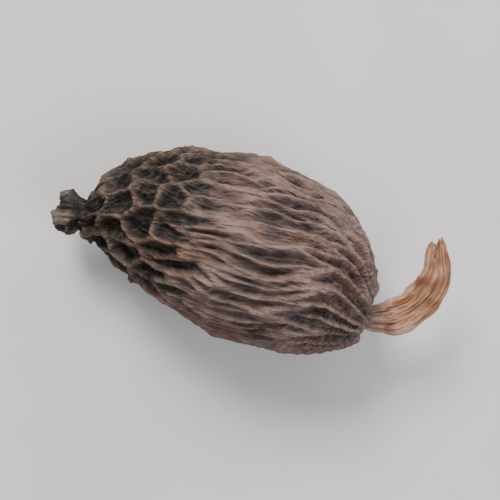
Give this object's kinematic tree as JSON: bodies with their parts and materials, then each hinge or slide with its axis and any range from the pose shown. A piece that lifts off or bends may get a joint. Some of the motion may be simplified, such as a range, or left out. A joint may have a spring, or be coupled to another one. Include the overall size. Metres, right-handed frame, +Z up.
{
  "type": "black cardamom pod",
  "caption": "Dried black cardamom pod lying on its side: ovoid husk with wavy lengthwise ribs and a raised net, shrivelled calyx at the tip and a curled coppery stalk scrap.",
  "frame": {"origin": "centre of the bounding box in X and Y, on the surface that the pod rests on", "axes": "+Z up, +X along the pod from the calyx at the narrow tip to the stalk end, +Y away from the side on which the calyx and the stalk sit off the middle"},
  "size_m": [0.0312, 0.0144, 0.012],
  "materials": {
    "husk": "dried leathery husk, matt, tan ridges over dark grooves",
    "calyx": "shrivelled charcoal calyx, matt",
    "stalk": "papery coppery fibres, satin to matt"
  },
  "bodies": {
    "root": {"husk": "husk", "calyx_remnant": "calyx", "stalk_scrap": "stalk"}
  },
  "joints": []
}
